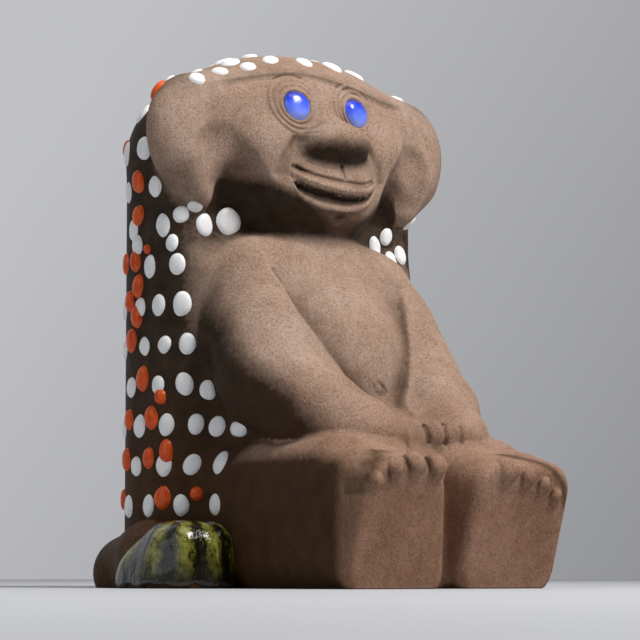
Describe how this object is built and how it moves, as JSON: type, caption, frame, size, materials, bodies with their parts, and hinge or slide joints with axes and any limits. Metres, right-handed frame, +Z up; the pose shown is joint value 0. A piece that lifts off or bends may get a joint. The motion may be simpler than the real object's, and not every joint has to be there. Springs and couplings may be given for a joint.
{
  "type": "seated troll figurine",
  "caption": "Hollow stoneware ornament of a seated folklore troll: broad face, large ears, a long mane dotted with raised glaze, legs stretched forward and a curled tail with a glazed tuft.",
  "frame": {"origin": "on the base, under the seat, on the figure's middle plane", "axes": "+Z up from the base to the crown; the face and soles look towards -Y; +X is the figure's left"},
  "size_m": [0.1052, 0.112, 0.144],
  "materials": {
    "bare_clay": "matte",
    "stained_clay": "satin",
    "white_glaze": "gloss",
    "orange_glaze": "gloss",
    "blue_glaze": "gloss",
    "green_glaze": "gloss"
  },
  "bodies": {
    "root": {"front_casting": "bare_clay", "back_casting": "stained_clay", "tail_roll": "stained_clay", "right_eye_glaze": "blue_glaze", "left_eye_glaze": "blue_glaze", "tail_tuft_glaze": "green_glaze", "fringe_dot_1": "white_glaze", "fringe_dot_2": "white_glaze", "fringe_dot_3": "white_glaze", "fringe_dot_4": "white_glaze", "fringe_dot_5": "white_glaze", "fringe_dot_6": "white_glaze", "fringe_dot_7": "white_glaze", "orange_dot_10_1": "orange_glaze", "orange_dot_1_1": "orange_glaze", "orange_dot_1_2": "orange_glaze", "orange_dot_2_1": "orange_glaze", "orange_dot_2_2": "orange_glaze", "orange_dot_3_1": "orange_glaze", "orange_dot_3_2": "orange_glaze", "orange_dot_4_1": "orange_glaze", "orange_dot_5_1": "orange_glaze", "orange_dot_6_1": "orange_glaze", "orange_dot_7_1": "orange_glaze", "orange_dot_7_2": "orange_glaze", "orange_dot_9_1": "orange_glaze", "white_dot_10_1": "white_glaze", "white_dot_11_1": "white_glaze", "white_dot_1_1": "white_glaze", "white_dot_1_2": "white_glaze", "white_dot_1_3": "white_glaze", "white_dot_1_4": "white_glaze", "white_dot_2_1": "white_glaze", "white_dot_2_2": "white_glaze", "white_dot_2_3": "white_glaze", "white_dot_2_4": "white_glaze", "white_dot_3_1": "white_glaze", "white_dot_3_2": "white_glaze", "white_dot_3_3": "white_glaze", "white_dot_3_4": "white_glaze", "white_dot_4_1": "white_glaze", "white_dot_4_2": "white_glaze", "white_dot_4_3": "white_glaze", "white_dot_5_1": "white_glaze", "white_dot_5_2": "white_glaze", "white_dot_5_3": "white_glaze", "white_dot_5_4": "white_glaze", "white_dot_6_1": "white_glaze", "white_dot_6_2": "white_glaze", "white_dot_6_3": "white_glaze", "white_dot_6_4": "white_glaze", "white_dot_7_1": "white_glaze", "white_dot_7_2": "white_glaze", "white_dot_8_1": "white_glaze", "white_dot_8_2": "white_glaze", "white_dot_8_3": "white_glaze", "white_dot_9_1": "white_glaze", "white_dot_9_2": "white_glaze"}
  },
  "joints": []
}
